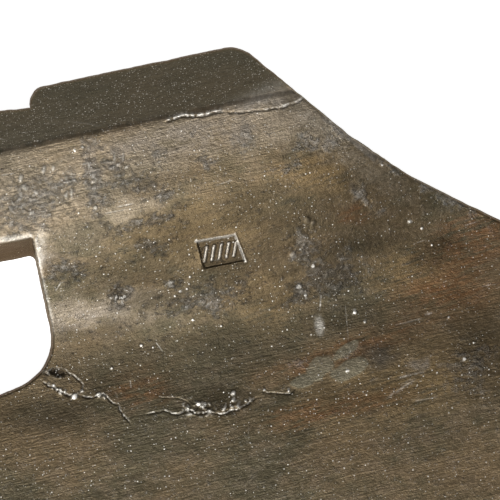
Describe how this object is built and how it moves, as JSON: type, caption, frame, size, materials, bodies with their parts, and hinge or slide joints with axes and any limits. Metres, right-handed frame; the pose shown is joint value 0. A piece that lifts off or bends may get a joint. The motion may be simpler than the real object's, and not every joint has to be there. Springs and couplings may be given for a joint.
{
  "type": "side axe head",
  "caption": "Forged iron hewing axe head with a broad bearded blade, a flat back and a long socket for the handle.",
  "frame": {"origin": "middle of the head's outline, on the plane of its flat back", "axes": "+X along the handle and the cutting edge, towards the toe; +Y from the cutting edge to the poll; +Z from the flat back to the struck face"},
  "size_m": [0.3702, 0.1894, 0.038],
  "materials": {
    "forged_iron": "forged and pitted, dark brown patina, brushed to a dull shine"
  },
  "bodies": {
    "root": {"axe_head": "forged_iron"}
  },
  "joints": []
}
